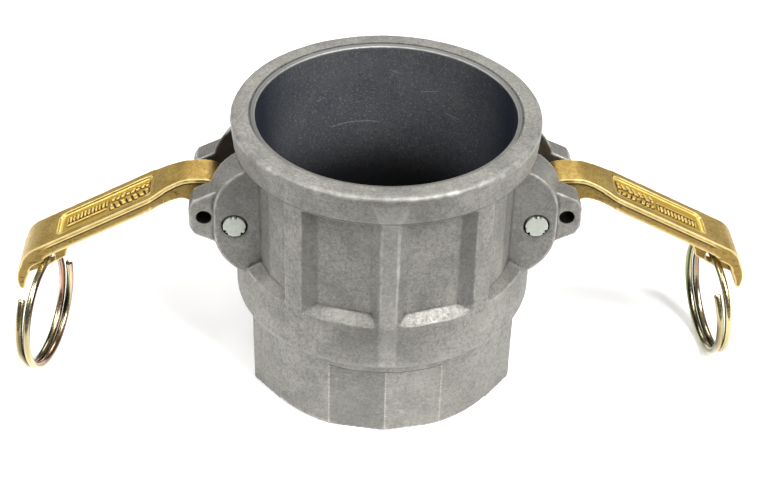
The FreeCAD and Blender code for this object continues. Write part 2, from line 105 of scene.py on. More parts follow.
def remesh(ob, voxel, smooth=3, factor=0.5, ratio=1.0):
    m = ob.modifiers.new("remesh", "REMESH")
    m.mode = "VOXEL"
    m.voxel_size = voxel
    m.adaptivity = 0
    m.use_smooth_shade = True
    bake_modifiers(ob)
    if smooth:
        s = ob.modifiers.new("smooth", "SMOOTH")
        s.factor = factor
        s.iterations = smooth
        bake_modifiers(ob)
    if ratio < 1:
        d = ob.modifiers.new("decimate", "DECIMATE")
        d.ratio = ratio
        bake_modifiers(ob)
    ob.data.polygons.foreach_set("use_smooth", [True] * len(ob.data.polygons))
    return ob


def wobble(p, scale, seed, octaves=3):
    """Smooth pseudo-random field over points p (in mm), a sum of sines in mixed directions."""
    rng = np.random.RandomState(seed)
    out = np.zeros(len(p))
    amp = 1.0
    for o in range(octaves):
        for k in range(7):
            d = rng.normal(size=3)
            d /= np.linalg.norm(d)
            f = 2 * math.pi / (scale * (0.7 + 0.6 * rng.rand()))
            out += amp * np.sin(p @ d * f + rng.rand() * 6.283)
        scale *= 0.5
        amp *= 0.5
    return out / 5.0


def smoothstep(a, b, x):
    t = np.clip((x - a) / (b - a), 0, 1)
    return t * t * (3 - 2 * t)


def hollow_depth(me, rounds):
    """Signed depth in mm of each vertex below its smoothed surroundings: above 0 in creases, below 0 on edges."""
    n = len(me.vertices)
    ed = np.empty(len(me.edges) * 2, np.int64)
    me.edges.foreach_get("vertices", ed)
    ed = ed.reshape(-1, 2)
    count = np.maximum(np.bincount(ed.reshape(-1), minlength=n), 1).astype(float)
    co, no = coords(me), normals(me)
    q = co.copy()
    for _ in range(rounds):
        s = np.empty_like(q)
        for k in range(3):
            s[:, k] = np.bincount(ed[:, 0], q[ed[:, 1], k], n) + np.bincount(ed[:, 1], q[ed[:, 0], k], n)
        q = 0.5 * q + 0.5 * s / count[:, None]
    return ((q - co) * no).sum(1) / MM


def store(me, name, values):
    at = me.attributes.new(name, "FLOAT", "POINT")
    at.data.foreach_set("value", values.astype(np.float32))


def mesh_from_rings(name, rings, closed_u=True, closed_v=True):
    """Mesh from a list of equal-length point rings. closed_u joins within a ring, closed_v joins last to first."""
    n, m = len(rings), len(rings[0])
    verts = [tuple(p) for r in rings for p in r]
    faces = []
    for i in range(n if closed_v else n - 1):
        a, b = i * m, ((i + 1) % n) * m
        for j in range(m if closed_u else m - 1):
            k = (j + 1) % m
            faces.append((a + j, a + k, b + k, b + j))
    me = bpy.data.meshes.new(name)
    me.from_pydata(verts, [], faces)
    me.update()
    return me


def fix_normals(me):
    bm = bmesh.new()
    bm.from_mesh(me)
    bmesh.ops.recalc_face_normals(bm, faces=bm.faces)
    bm.to_mesh(me)
    bm.free()


# ------------------------------------------------------------------ shader help
class Nodes:
    def __init__(self, name):
        self.mat = bpy.data.materials.new(name)
        self.mat.use_nodes = True
        self.t = self.mat.node_tree
        self.b = self.t.nodes["Principled BSDF"]
        co = self.t.nodes.new("ShaderNodeTexCoord")
        mp = self.t.nodes.new("ShaderNodeMapping")
        mp.inputs["Scale"].default_value = (1000, 1000, 1000)
        self.link(co.outputs["Object"], mp.inputs["Vector"])
        self.p = mp.outputs["Vector"]      # object coordinates in millimetres

    def link(self, a, b):
        self.t.links.new(a, b)

    def put(self, sock, value):
        if hasattr(value, "is_output"):
            self.link(value, sock)
        else:
            sock.default_value = value

    def noise(self, scale, detail=3.0, rough=0.5, distortion=0.0, vector=None, dims="3D"):
        n = self.t.nodes.new("ShaderNodeTexNoise")
        n.noise_dimensions = dims
        self.link(vector or self.p, n.inputs["Vector"])
        n.inputs["Scale"].default_value = scale
        n.inputs["Detail"].default_value = detail
        n.inputs["Roughness"].default_value = rough
        n.inputs["Distortion"].default_value = distortion
        return n.outputs["Fac"]

    def voronoi(self, scale, vector=None, feature="F1", rand=1.0):
        n = self.t.nodes.new("ShaderNodeTexVoronoi")
        n.feature = feature
        self.link(vector or self.p, n.inputs["Vector"])
        n.inputs["Scale"].default_value = scale
        n.inputs["Randomness"].default_value = rand
        return n.outputs["Distance"]

    def math(self, op, a, b=0.0, c=0.0, clamp=False):
        n = self.t.nodes.new("ShaderNodeMath")
        n.operation = op
        n.use_clamp = clamp
        self.put(n.inputs[0], a)
        self.put(n.inputs[1], b)
        self.put(n.inputs[2], c)
        return n.outputs[0]

    def ramp(self, fac, lo, hi, out_lo=0.0, out_hi=1.0, smooth=True):
        n = self.t.nodes.new("ShaderNodeMapRange")
        n.interpolation_type = "SMOOTHSTEP" if smooth else "LINEAR"
        n.clamp = True
        self.put(n.inputs["Value"], fac)
        n.inputs["From Min"].default_value = lo
        n.inputs["From Max"].default_value = hi
        n.inputs["To Min"].default_value = out_lo
        n.inputs["To Max"].default_value = out_hi
        return n.outputs["Result"]

    def mix(self, fac, a, b, mode="MIX"):
        n = self.t.nodes.new("ShaderNodeMix")
        n.data_type = "RGBA"
        n.blend_type = mode
        self.put(n.inputs[0], fac)
        for sock, v in ((n.inputs[6], a), (n.inputs[7], b)):
            if hasattr(v, "is_output"):
                self.link(v, sock)
            else:
                sock.default_value = (*v, 1.0) if len(v) == 3 else v
        return n.outputs[2]

    def xyz(self, vector=None):
        n = self.t.nodes.new("ShaderNodeSeparateXYZ")
        self.link(vector or self.p, n.inputs[0])
        return n.outputs

    def combine(self, x, y, z):
        n = self.t.nodes.new("ShaderNodeCombineXYZ")
        for s, v in zip(n.inputs, (x, y, z)):
            self.put(s, v)
        return n.outputs[0]

    def scaled(self, sx, sy, sz, rot=(0, 0, 0)):
        n = self.t.nodes.new("ShaderNodeMapping")
        self.link(self.p, n.inputs["Vector"])
        n.inputs["Scale"].default_value = (sx, sy, sz)
        n.inputs["Rotation"].default_value = rot
        return n.outputs["Vector"]

    def normal_xyz(self):
        g = self.t.nodes.new("ShaderNodeNewGeometry")
        vt = self.t.nodes.new("ShaderNodeVectorTransform")
        vt.vector_type = "NORMAL"
        vt.convert_from = "WORLD"
        vt.convert_to = "OBJECT"
        self.link(g.outputs["Normal"], vt.inputs[0])
        return self.xyz(vt.outputs[0])

    def pointiness(self):
        return self.t.nodes.new("ShaderNodeNewGeometry").outputs["Pointiness"]

    def attribute(self, name, out="Fac"):
        n = self.t.nodes.new("ShaderNodeAttribute")
        n.attribute_name = name
        return n.outputs[out]

    def bump(self, height, distance, strength=1.0, normal=None):
        n = self.t.nodes.new("ShaderNodeBump")
        n.inputs["Strength"].default_value = strength
        n.inputs["Distance"].default_value = distance
        self.put(n.inputs["Height"], height)
        if normal is not None:
            self.link(normal, n.inputs["Normal"])
        return n.outputs["Normal"]


def cast_aluminium():
    s = Nodes("cast_aluminium")
    x, y, z = s.xyz()
    nx, ny, nz = s.normal_xyz()
    ax = s.math("ABSOLUTE", x)
    ay = s.math("ABSOLUTE", y)
    r = s.math("SQRT", s.math("ADD", s.math("MULTIPLY", x, x), s.math("MULTIPLY", y, y)))
    blot = s.noise(0.07, 3, 0.55)
    blot2 = s.noise(0.28, 3, 0.6)
    grain = s.noise(1.1, 4, 0.75)
    speck = s.noise(2.6, 3, 0.8)
    pits = s.voronoi(0.5)
    hollow = s.attribute("hollow")
    base = s.mix(s.ramp(blot, 0.36, 0.64), (0.222, 0.216, 0.196), (0.280, 0.271, 0.246))
    base = s.mix(s.ramp(blot2, 0.3, 0.7, 0.0, 0.5), base, (0.292, 0.284, 0.255))
    base = s.mix(s.ramp(grain, 0.40, 0.66, 0.0, 0.65), base, (0.152, 0.148, 0.133))
    base = s.mix(s.ramp(speck, 0.57, 0.68, 0.0, 0.75), base, (0.47, 0.455, 0.415))
    base = s.mix(s.ramp(speck, 0.43, 0.31, 0.0, 0.65), base, (0.092, 0.089, 0.080))
    smudge = s.noise(0.11, 2, 0.6)
    base = s.mix(s.ramp(smudge, 0.52, 0.68, 0.0, 0.35), base, (0.120, 0.119, 0.117))
    base = s.mix(s.ramp(smudge, 0.46, 0.30, 0.0, 0.30), base, (0.36, 0.35, 0.315))
    base = s.mix(s.ramp(pits, 0.11, 0.04, 0.0, 0.6), base, (0.07, 0.067, 0.060))
    base = s.mix(s.ramp(z, 34.0, 8.0, 0.0, 0.20), base, (0.150, 0.146, 0.132))
    # the front and back faces of the ears are a shade darker
    flank = s.ramp(s.math("ABSOLUTE", ny), 0.80, 0.93)
    ear = s.math("MULTIPLY", s.ramp(ax, 30.6, 31.2), s.math("MULTIPLY", s.ramp(z, 31.0, 38.0), s.ramp(z, 67.0, 64.5)))
    ear = s.math("MULTIPLY", s.math("MULTIPLY", ear, flank), s.math("MULTIPLY", s.ramp(ay, 13.9, 13.5), s.ramp(ay, 12.6, 12.8)))
    base = s.mix(s.math("MULTIPLY", ear, s.ramp(blot2, 0.3, 0.7, 0.15, 0.38)), base, (0.120, 0.120, 0.118))
    # angled side walls of the cast pockets: painted shade, darker where a wall turns sideways to the light
    side = s.math("ABSOLUTE", s.math("DIVIDE", s.math("SUBTRACT", s.math("MULTIPLY", nx, y), s.math("MULTIPLY", ny, x)), r))
    side = s.math("MULTIPLY", s.ramp(side, 0.14, 0.32), s.math("MULTIPLY", s.ramp(ax, 30.0, 29.0), s.ramp(r, 33.5, 34.5)))
    side = s.math("MULTIPLY", side, s.math("MULTIPLY", s.ramp(z, 36.8, 38.8), s.ramp(z, 66.4, 65.8)))
    base = s.mix(s.math("MULTIPLY", side, s.ramp(ax, 6.0, 12.0, 0.25, 0.50)), base, (0.100, 0.098, 0.092))
    # soft shade on the skirt beside the seam land, which is lighter from the skirt up into the band under the mouth
    seam_half = s.ramp(z, 66.0, 72.5, 1.9, 4.6, False)
    seam = s.ramp(s.math("SUBTRACT", ax, seam_half), 0.8, -0.7)
    seam = s.math("MULTIPLY", seam, s.math("MULTIPLY", s.ramp(z, 23.4, 24.4), s.ramp(z, 72.8, 71.5)))
    seam = s.math("MULTIPLY", seam, s.ramp(ay, 31.0, 32.0))
    beside = s.math("MULTIPLY", s.ramp(ax, 16.0, 5.0), s.math("MULTIPLY", s.ramp(z, 23.5, 26.0), s.ramp(z, 36.0, 31.0)))
    base = s.mix(s.math("MULTIPLY", beside, s.ramp(blot2, 0.3, 0.7, 0.10, 0.42)), base, (0.13, 0.128, 0.120))
    base = s.mix(s.math("MULTIPLY", seam, s.ramp(grain, 0.3, 0.7, 0.52, 0.25)), base, (0.43, 0.42, 0.385))
    # painted shadow inside the slots of the arms, dark brown from the reflected brass
    slot_shadow = s.math("MULTIPLY", s.ramp(ay, 6.45, 6.2), s.math("MULTIPLY", s.ramp(ax, 30.0, 32.0), s.ramp(z, 66.5, 66.0)))
    slot_shadow = s.math("MULTIPLY", slot_shadow, s.ramp(z, 34.0, 37.0))
    base = s.mix(s.math("MULTIPLY", slot_shadow, s.ramp(grain, 0.3, 0.7, 0.93, 0.75)), base, (0.046, 0.034, 0.023))
    # wear and painted highlight on the edges, dirt and painted shade in the corners
    piv = s.math("SUBTRACT", ax, 37.3)
    piz = s.math("SUBTRACT", z, 49.0)
    pivot = s.math("SQRT", s.math("ADD", s.math("MULTIPLY", piv, piv), s.math("MULTIPLY", piz, piz)))
    clx = s.math("SUBTRACT", ax, 44.8)
    clz = s.math("SUBTRACT", z, 51.0)
    clip = s.math("SQRT", s.math("ADD", s.math("MULTIPLY", clx, clx), s.math("MULTIPLY", clz, clz)))
    wear_and_highlight = s.math("MULTIPLY", s.ramp(hollow, -0.026, -0.095), s.ramp(blot2, 0.34, 0.62, 0.22, 0.80))
    wear_and_highlight = s.math("MULTIPLY", wear_and_highlight, s.math("MULTIPLY", s.ramp(pivot, 3.9, 4.4), s.ramp(clip, 2.3, 2.6)))
    # the painted highlight and wear are least along the lower edges of the mouth band and the skirt, which face down
    wear_and_highlight = s.math("MULTIPLY", wear_and_highlight, s.ramp(nz, -0.45, -0.05))
    low_edge = s.math("MULTIPLY", s.ramp(s.math("ABSOLUTE", s.math("SUBTRACT", z, 66.9)), 0.5, 1.1), s.ramp(s.math("ABSOLUTE", s.math("SUBTRACT", z, 23.6)), 0.8, 1.6))
    wear_and_highlight = s.math("MULTIPLY", wear_and_highlight, s.math("MAXIMUM", low_edge, s.ramp(ax, 33.0, 36.0)))
    base = s.mix(wear_and_highlight, base, (0.50, 0.49, 0.455))
    dirt_and_shade = s.math("MULTIPLY", s.ramp(hollow, 0.028, 0.12), s.ramp(grain, 0.30, 0.70, 0.95, 0.65))
    base = s.mix(dirt_and_shade, base, (0.050, 0.046, 0.040))
    # painted shadow lines under the lower edges of the mouth band and of the skirt
    for level, half, top_r in ((66.78, 0.26, 36.6), (23.05, 0.26, 34.4)):
        shadow_line = s.math("MULTIPLY", s.ramp(s.math("ABSOLUTE", s.math("SUBTRACT", z, level)), half, half * 0.35), s.ramp(r, top_r, top_r + 0.3))
        base = s.mix(s.math("MULTIPLY", shadow_line, s.ramp(grain, 0.3, 0.7, 0.90, 0.55)), base, (0.045, 0.041, 0.034))
    # painted shadow: black gap round the pivot pins, black inside the clip holes
    gap = s.math("MULTIPLY", s.ramp(pivot, 3.32, 3.18), s.ramp(ay, 12.0, 12.4))
    clip_hole_shadow = s.math("MULTIPLY", s.ramp(clip, 1.98, 1.86), s.ramp(ay, 6.0, 6.3))
    base = s.mix(s.math("MAXIMUM", gap, clip_hole_shadow), base, (0.006, 0.006, 0.006))
    # machined lip round the mouth of the bore, away from the front: a painted shadow line, painted shade on the cone
    # and a painted highlight on the edge
    rear = s.ramp(y, -20.0, -6.0)
    top = s.math("MULTIPLY", s.ramp(z, 73.2, 73.6), rear)
    line = s.math("MULTIPLY", s.ramp(r, 33.02, 33.2), s.ramp(r, 33.78, 33.58))
    cone_shade = s.math("MULTIPLY", s.ramp(r, 32.34, 32.46), s.ramp(r, 33.25, 33.1))
    lip_highlight = s.ramp(r, 32.46, 32.34)
    base = s.mix(s.math("MULTIPLY", cone_shade, top), base, (0.19, 0.19, 0.182))
    base = s.mix(s.math("MULTIPLY", line, s.math("MULTIPLY", top, s.ramp(grain, 0.35, 0.6, 0.96, 0.60))), base, (0.010, 0.011, 0.014))
    base = s.mix(s.math("MULTIPLY", lip_highlight, s.math("MULTIPLY", top, s.ramp(grain, 0.3, 0.7, 0.75, 0.35))), base, (0.36, 0.36, 0.345))
    # wrench flats: one flat of each pair painted lighter and the other darker as the light falls, rubbed streaks,
    # bright edges
    flat = s.math("MULTIPLY", s.ramp(ax, 14.05, 13.85), s.math("MULTIPLY", s.ramp(z, 19.75, 19.55), s.ramp(ay, 29.5, 30.5)))
    streak = s.noise(1.5, 3, 0.65, vector=s.scaled(0.20, 1.0, 1.6, (0.0, 0.22, 0.0)))
    patch = s.noise(0.14, 2, 0.5)
    same = s.ramp(s.math("MULTIPLY", x, s.math("SIGN", y)), 0.3, -0.3)
    rub = s.math("MULTIPLY", flat, s.math("MULTIPLY", s.ramp(streak, 0.52, 0.66), s.ramp(patch, 0.46, 0.60, 0.10, 1.0)))
    base = s.mix(s.math("MULTIPLY", flat, s.math("MULTIPLY", same, 0.12)), base, (0.42, 0.405, 0.370))
    base = s.mix(s.math("MULTIPLY", flat, s.math("MULTIPLY", s.ramp(same, 0.6, 0.4), 0.34)), base, (0.120, 0.119, 0.116))
    base = s.mix(s.math("MULTIPLY", rub, s.ramp(same, 0.0, 1.0, 0.22, 0.38)), base, (0.50, 0.485, 0.445))
    # wear and painted highlights along the upright edges of the flats
    foot = s.math("MULTIPLY", s.ramp(z, 19.75, 19.55), s.ramp(ay, 29.5, 30.5))
    broken = s.ramp(streak, 0.42, 0.60, 0.15, 0.60)
    for at, half in ((14.05, 0.16), (0.0, 0.15)):
        edge = s.math("MULTIPLY", s.ramp(s.math("ABSOLUTE", s.math("SUBTRACT", ax, at)), half * 1.7, half * 0.6), foot)
        base = s.mix(s.math("MULTIPLY", edge, broken), base, (0.52, 0.51, 0.465))
    # painted highlight along the top edge of the flats, painted shadow on the ledge just above it
    inside = s.math("MULTIPLY", s.ramp(ax, 14.1, 13.9), s.ramp(ay, 29.5, 30.5))
    edge = s.math("MULTIPLY", s.ramp(s.math("ABSOLUTE", s.math("SUBTRACT", z, 19.42)), 0.26, 0.10), inside)
    base = s.mix(s.math("MULTIPLY", edge, s.ramp(grain, 0.32, 0.62, 0.85, 0.25)), base, (0.54, 0.53, 0.48))
    edge = s.math("MULTIPLY", s.ramp(s.math("ABSOLUTE", s.math("SUBTRACT", z, 19.92)), 0.30, 0.12), inside)
    base = s.mix(s.math("MULTIPLY", edge, 0.8), base, (0.060, 0.056, 0.048))
    s.link(base, s.b.inputs["Base Color"])
    s.b.inputs["Metallic"].default_value = 0.6
    s.link(s.ramp(grain, 0.3, 0.75, 0.40, 0.62), s.b.inputs["Roughness"])
    n1 = s.bump(grain, 0.00014, 0.7)
    n2 = s.bump(speck, 0.00009, 0.8, n1)
    s.link(n2, s.b.inputs["Normal"])
    return s.mat


def bore_metal():
    s = Nodes("bore_surface")
    x, y, z = s.xyz()
    blot = s.noise(0.06, 3, 0.55)
    grain = s.noise(0.8, 4, 0.75)
    speck = s.noise(2.4, 3, 0.8)
    turn = s.noise(2.2, 2, 0.5, vector=s.scaled(0.03, 0.03, 1.0))
    base = s.mix(s.ramp(blot, 0.36, 0.64), (0.178, 0.190, 0.215), (0.235, 0.243, 0.258))
    base = s.mix(s.ramp(grain, 0.42, 0.66, 0.0, 0.6), base, (0.105, 0.113, 0.132))
    base = s.mix(s.ramp(speck, 0.56, 0.66, 0.0, 0.85), base, (0.62, 0.63, 0.63))
    base = s.mix(s.ramp(speck, 0.42, 0.30, 0.0, 0.5), base, (0.07, 0.075, 0.085))
    base = s.mix(s.ramp(turn, 0.55, 0.75, 0.0, 0.25), base, (0.36, 0.37, 0.39))
    # painted shade: the sides of the bore darker than the back
    base = s.mix(s.ramp(s.math("ABSOLUTE", y), 25.0, 6.0, 0.0, 0.92), base, (0.036, 0.046, 0.072))
    # short scratches left by the adapter: (x at the middle, height, half length, half width, slope, bow)
    for cx, level, half_len, half, slope, bow in (
            (-7.0, 51.6, 7.2, 0.13, 0.00, -0.012), (12.5, 62.0, 2.4, 0.08, 0.25, 0.0), (4.0, 66.5, 1.8, 0.08, -0.30, 0.0),
            (-16.0, 60.5, 1.6, 0.08, 0.20, 0.0), (18.5, 56.5, 2.0, 0.08, -0.15, 0.0)):
        dx = s.math("SUBTRACT", x, cx)
        path = s.math("ADD", level, s.math("ADD", s.math("MULTIPLY", dx, slope), s.math("MULTIPLY", s.math("MULTIPLY", dx, dx), bow)))
        gap = s.math("ABSOLUTE", s.math("SUBTRACT", z, path))
        m = s.math("MULTIPLY", s.ramp(gap, half * 1.6, half * 0.5), s.ramp(s.math("ABSOLUTE", dx), half_len, half_len * 0.75))
        m = s.math("MULTIPLY", m, s.ramp(y, 0.0, 2.0))
        m = s.math("MULTIPLY", m, s.ramp(speck, 0.36, 0.52, 0.15, 0.9))
        base = s.mix(m, base, (0.62, 0.63, 0.63))
    # the light falls off towards the bottom of the socket
    base = s.mix(s.ramp(z, 57.0, 34.0, 0.0, 0.96), base, (0.009, 0.009, 0.010))
    # painted highlight on the turned edge at the mouth
    mouth = s.math("MULTIPLY", s.ramp(z, 73.40, 73.60), s.ramp(y, -20.0, -6.0))
    base = s.mix(s.math("MULTIPLY", mouth, s.ramp(grain, 0.3, 0.7, 0.7, 0.35)), base, (0.30, 0.30, 0.29))
    s.link(base, s.b.inputs["Base Color"])
    s.b.inputs["Metallic"].default_value = 0.75
    s.link(s.ramp(grain, 0.3, 0.75, 0.38, 0.56), s.b.inputs["Roughness"])
    n1 = s.bump(grain, 0.00008, 0.5)
    n2 = s.bump(turn, 0.00003, 0.4, n1)
    s.link(n2, s.b.inputs["Normal"])
    return s.mat


def brass():
    s = Nodes("cast_brass")
    blot = s.noise(0.16, 3, 0.6)
    grain = s.noise(1.2, 4, 0.7)
    speck = s.noise(3.0, 3, 0.75)
    pits = s.voronoi(0.34)
    hollow = s.attribute("hollow")
    sunk, wall_highlight, mark_shadow = s.xyz(s.attribute("panel_floor_and_painted_light", "Vector"))
    base = s.mix(s.ramp(blot, 0.35, 0.65), (0.365, 0.238, 0.052), (0.500, 0.338, 0.084))
    base = s.mix(s.ramp(grain, 0.44, 0.66, 0.0, 0.65), base, (0.240, 0.145, 0.030))
    base = s.mix(s.ramp(speck, 0.57, 0.70, 0.0, 0.75), base, (0.72, 0.55, 0.19))
    base = s.mix(s.ramp(speck, 0.42, 0.32, 0.0, 0.5), base, (0.16, 0.10, 0.03))
    # painted shade: darker red-brown towards the hub, between the ears
    bx, by, bz = s.xyz()
    hub_shade = s.math("MULTIPLY", s.ramp(s.math("ABSOLUTE", bx), 46.0, 38.5), s.ramp(blot, 0.3, 0.7, 0.95, 0.65))
    base = s.mix(hub_shade, base, (0.075, 0.030, 0.012))
    # painted light: the tip of the left arm lighter, as it faces the light
    base = s.mix(s.ramp(bx, -86.0, -90.0, 0.0, 0.35), base, (0.66, 0.51, 0.23))
    # sunk panel: yellow floor, painted highlight on its walls, painted shadow in brown round the raised marks
    base = s.mix(s.math("MULTIPLY", sunk, 0.75), base, (0.60, 0.39, 0.055))
    base = s.mix(s.math("MULTIPLY", wall_highlight, 0.85), base, (0.88, 0.68, 0.18))
    base = s.mix(s.math("MULTIPLY", mark_shadow, 0.85), base, (0.110, 0.052, 0.009))
    base = s.mix(s.ramp(pits, 0.075, 0.03, 0.0, 0.85), base, (0.05, 0.028, 0.010))
    # flanks of the handle: painted shade, darker where they face sideways, with brown stains in a row under the flange
    nx, ny, nz = s.normal_xyz()
    flank = s.math("MULTIPLY", s.ramp(s.math("ABSOLUTE", ny), 0.70, 0.90), s.math("SUBTRACT", 1.0, sunk))
    base = s.mix(s.math("MULTIPLY", flank, 0.65), base, (0.205, 0.130, 0.028))
    stain = s.noise(0.9, 3, 0.7, vector=s.scaled(0.5, 0.2, 1.6, (0.0, 0.0, 0.0)))
    base = s.mix(s.math("MULTIPLY", flank, s.ramp(stain, 0.56, 0.66, 0.0, 0.75)), base, (0.060, 0.030, 0.008))
    # wear and painted highlight on the edges, dirt and painted shade in the creases
    wear_and_highlight = s.math("MULTIPLY", s.ramp(hollow, -0.022, -0.085), s.ramp(sunk, 0.0, 1.0, 0.88, 0.35))
    base = s.mix(wear_and_highlight, base, (0.84, 0.66, 0.28))
    dirt_and_shade = s.math("MULTIPLY", s.ramp(hollow, 0.012, 0.070), s.ramp(wall_highlight, 0.0, 1.0, 0.94, 0.05))
    base = s.mix(dirt_and_shade, base, (0.045, 0.020, 0.005))
    s.link(base, s.b.inputs["Base Color"])
    s.b.inputs["Metallic"].default_value = 0.65
    s.link(s.ramp(grain, 0.3, 0.75, 0.38, 0.56), s.b.inputs["Roughness"])
    n1 = s.bump(grain, 0.00008, 0.5)
    n2 = s.bump(speck, 0.00004, 0.5, n1)
    s.link(n2, s.b.inputs["Normal"])
    return s.mat


def pin_metal():
    s = Nodes("pin_zinc")
    grain = s.noise(0.9, 4, 0.65)
    speck = s.noise(4.0, 3, 0.7)
    edge = s.pointiness()
    base = s.mix(s.ramp(grain, 0.35, 0.65), (0.44, 0.465, 0.410), (0.52, 0.545, 0.485))
    base = s.mix(s.ramp(speck, 0.62, 0.75, 0.0, 0.4), base, (0.66, 0.69, 0.62))
    # wear and painted highlight on the convex edges, dirt and painted shade in the notches and corners
    base = s.mix(s.ramp(edge, 0.52, 0.57, 0.0, 0.6), base, (0.82, 0.84, 0.76))
    base = s.mix(s.ramp(edge, 0.48, 0.42, 0.0, 0.8), base, (0.08, 0.08, 0.07))
    s.link(base, s.b.inputs["Base Color"])
    s.b.inputs["Metallic"].default_value = 0.6
    s.link(s.ramp(grain, 0.3, 0.75, 0.40, 0.55), s.b.inputs["Roughness"])
    s.link(s.bump(grain, 0.00005, 0.5), s.b.inputs["Normal"])
    return s.mat


def ring_metal():
    s = Nodes("yellow_zinc")
    plating_and_reflection = s.t.nodes.new("ShaderNodeAttribute")
    plating_and_reflection.attribute_name = "plating_and_reflection"
    grain = s.noise(2.5, 3, 0.6)
    base = s.mix(s.ramp(grain, 0.6, 0.75, 0.0, 0.3), plating_and_reflection.outputs["Color"], (0.22, 0.18, 0.10))
    s.link(base, s.b.inputs["Base Color"])
    s.b.inputs["Metallic"].default_value = 1.0
    s.link(s.ramp(grain, 0.3, 0.75, 0.16, 0.30), s.b.inputs["Roughness"])
    s.link(s.bump(grain, 0.00002, 0.4), s.b.inputs["Normal"])
    return s.mat


def rubber():
    s = Nodes("black_rubber")
    grain = s.noise(1.5, 4, 0.6)
    base = s.mix(s.ramp(grain, 0.4, 0.65), (0.012, 0.012, 0.012), (0.022, 0.022, 0.023))
    s.link(base, s.b.inputs["Base Color"])
    s.link(s.ramp(grain, 0.3, 0.7, 0.55, 0.72), s.b.inputs["Roughness"])
    s.link(s.bump(grain, 0.00006, 0.4), s.b.inputs["Normal"])
    return s.mat


ALU, BORE, BRASS, PIN, RING, RUBBER = cast_aluminium(), bore_metal(), brass(), pin_metal(), ring_metal(), rubber()


# ------------------------------------------------------------------ body
def thread_sleeve():
    """Right-handed taper pipe thread in the foot: 11.5 turns to the inch, 60 degree flanks."""
    pitch, z0, z1 = 25.4 / 11.5, 0.0, 19.0
    seg = 120
    turns = (z1 - z0) / pitch
    step = pitch / 10
    rows = int(round((z1 - z0) / step))
    depth = 0.8 * pitch

    def prof(u):
        u = u % 1.0
        t = abs(u - 0.5) * 2          # 0 at the root, 1 at the crest
        return np.clip((t - 0.08) / 0.84, 0, 1)

    rings = []
    for i in range(rows + 1):
        z = z0 + (z1 - z0) * i / rows
        ring = []
        for k in range(seg):
            a = 2 * math.pi * k / seg
            u = (z - z0) / pitch - k / seg
            r_root = 30.05 - z / 32.0
            r = r_root - depth * prof(u)
            fade = min(1.0, max(0.0, (z - 0.3) / 2.2)) * min(1.0, max(0.0, (18.2 - z) / 2.4))
            r = (r_root + 0.25) * (1 - fade) + r * fade if z < 9 else (r_root + 0.1) * (1 - fade) + r * fade
            ring.append((r * math.cos(a) * MM, r * math.sin(a) * MM, (z + 0.05) * MM))
        rings.append(ring)
    for r, z in ((31.3, 19.05), (31.3, 0.6)):
        rings.append([(r * math.cos(2 * math.pi * k / seg) * MM, r * math.sin(2 * math.pi * k / seg) * MM, z * MM) for k in range(seg)])
    me = mesh_from_rings("thread", rings)
    fix_normals(me)
    me.polygons.foreach_set("use_smooth", [True] * len(me.polygons))
    return new_object("thread", me)


def make_body():
    ob = copy_node("body", "coupler_body")
    me = ob.data
    co = coords(me)
    r = np.hypot(co[:, 0], co[:, 1])
    sel = (np.abs(r - 0.0289) < 0.0001) & (co[:, 2] > 0.0012) & (co[:, 2] < 0.0192)
    k = np.where(sel, 0.0310 / np.maximum(r, 1e-9), 1.0)
    co[:, 0] *= k
    co[:, 1] *= k
    set_coords(me, co)
    voxel = 0.33 * MM
    remesh(ob, voxel, smooth=2, factor=0.5)
    me = ob.data
    co, no = coords(me), normals(me)
    p = co / MM
    r = np.hypot(p[:, 0], p[:, 1])
    z = p[:, 2]
    outer = (r > 33.0) & (no[:, 0] * p[:, 0] + no[:, 1] * p[:, 1] > -0.2 * r)
    # uneven casting skin
    d = 0.07 * wobble(p, 22.0, 3) + 0.025 * wobble(p, 5.0, 5)
    # seam land down the middle of the front and the back
    wide = 1.9 + 2.7 * np.clip((z - 66.0) / 6.5, 0, 1)
    band = smoothstep(0.45, -0.25, np.abs(p[:, 0]) - wide) * smoothstep(23.5, 25.0, z) * smoothstep(72.4, 70.5, z) * (np.abs(p[:, 1]) > 30)
    d = d + 0.15 * band
    d = d * outer * smoothstep(0.0, 1.0, z)
    co += no * (d * MM)[:, None]
    set_coords(me, co)
    store(me, "hollow", hollow_depth(me, 9))
    tris = sum(len(f.vertices) - 2 for f in me.polygons)
    limit = 172000
    if tris > limit:
        m = ob.modifiers.new("decimate", "DECIMATE")
        m.ratio = limit / tris
        bake_modifiers(ob)
        me = ob.data
    me.materials.append(ALU)
    me.materials.append(BORE)
    for f in me.polygons:
        c = f.center
        rr = math.hypot(c.x, c.y) / MM
        if rr < 32.45 and c.z > 0.0213 and c.z < 0.0737:
            f.material_index = 1
    me.polygons.foreach_set("use_smooth", [True] * len(me.polygons))
    sl = thread_sleeve()
    sl.data.materials.append(ALU)
    sl.data.materials.append(BORE)
    join(ob, sl)
    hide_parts("body")
    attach(ob, "coupling")
    return ob


def join(ob, *others):
    """Adds the meshes of the others to ob and removes them."""
    bm = bmesh.new()
    bm.from_mesh(ob.data)
    for o in others:
        bm.from_mesh(o.data)
    bm.to_mesh(ob.data)
    bm.free()
    for o in others:
        me = o.data
        bpy.data.objects.remove(o)
        bpy.data.meshes.remove(me)


# ------------------------------------------------------------------ arms
SLOPE_A, SLOPE_B = np.array([57.4, 53.15]), np.array([88.9, 36.75])
SLOPE_T = (SLOPE_B - SLOPE_A) / np.linalg.norm(SLOPE_B - SLOPE_A)
SLOPE_N = np.array([-SLOPE_T[1], SLOPE_T[0]])
if SLOPE_N[1] < 0:
    SLOPE_N = -SLOPE_N


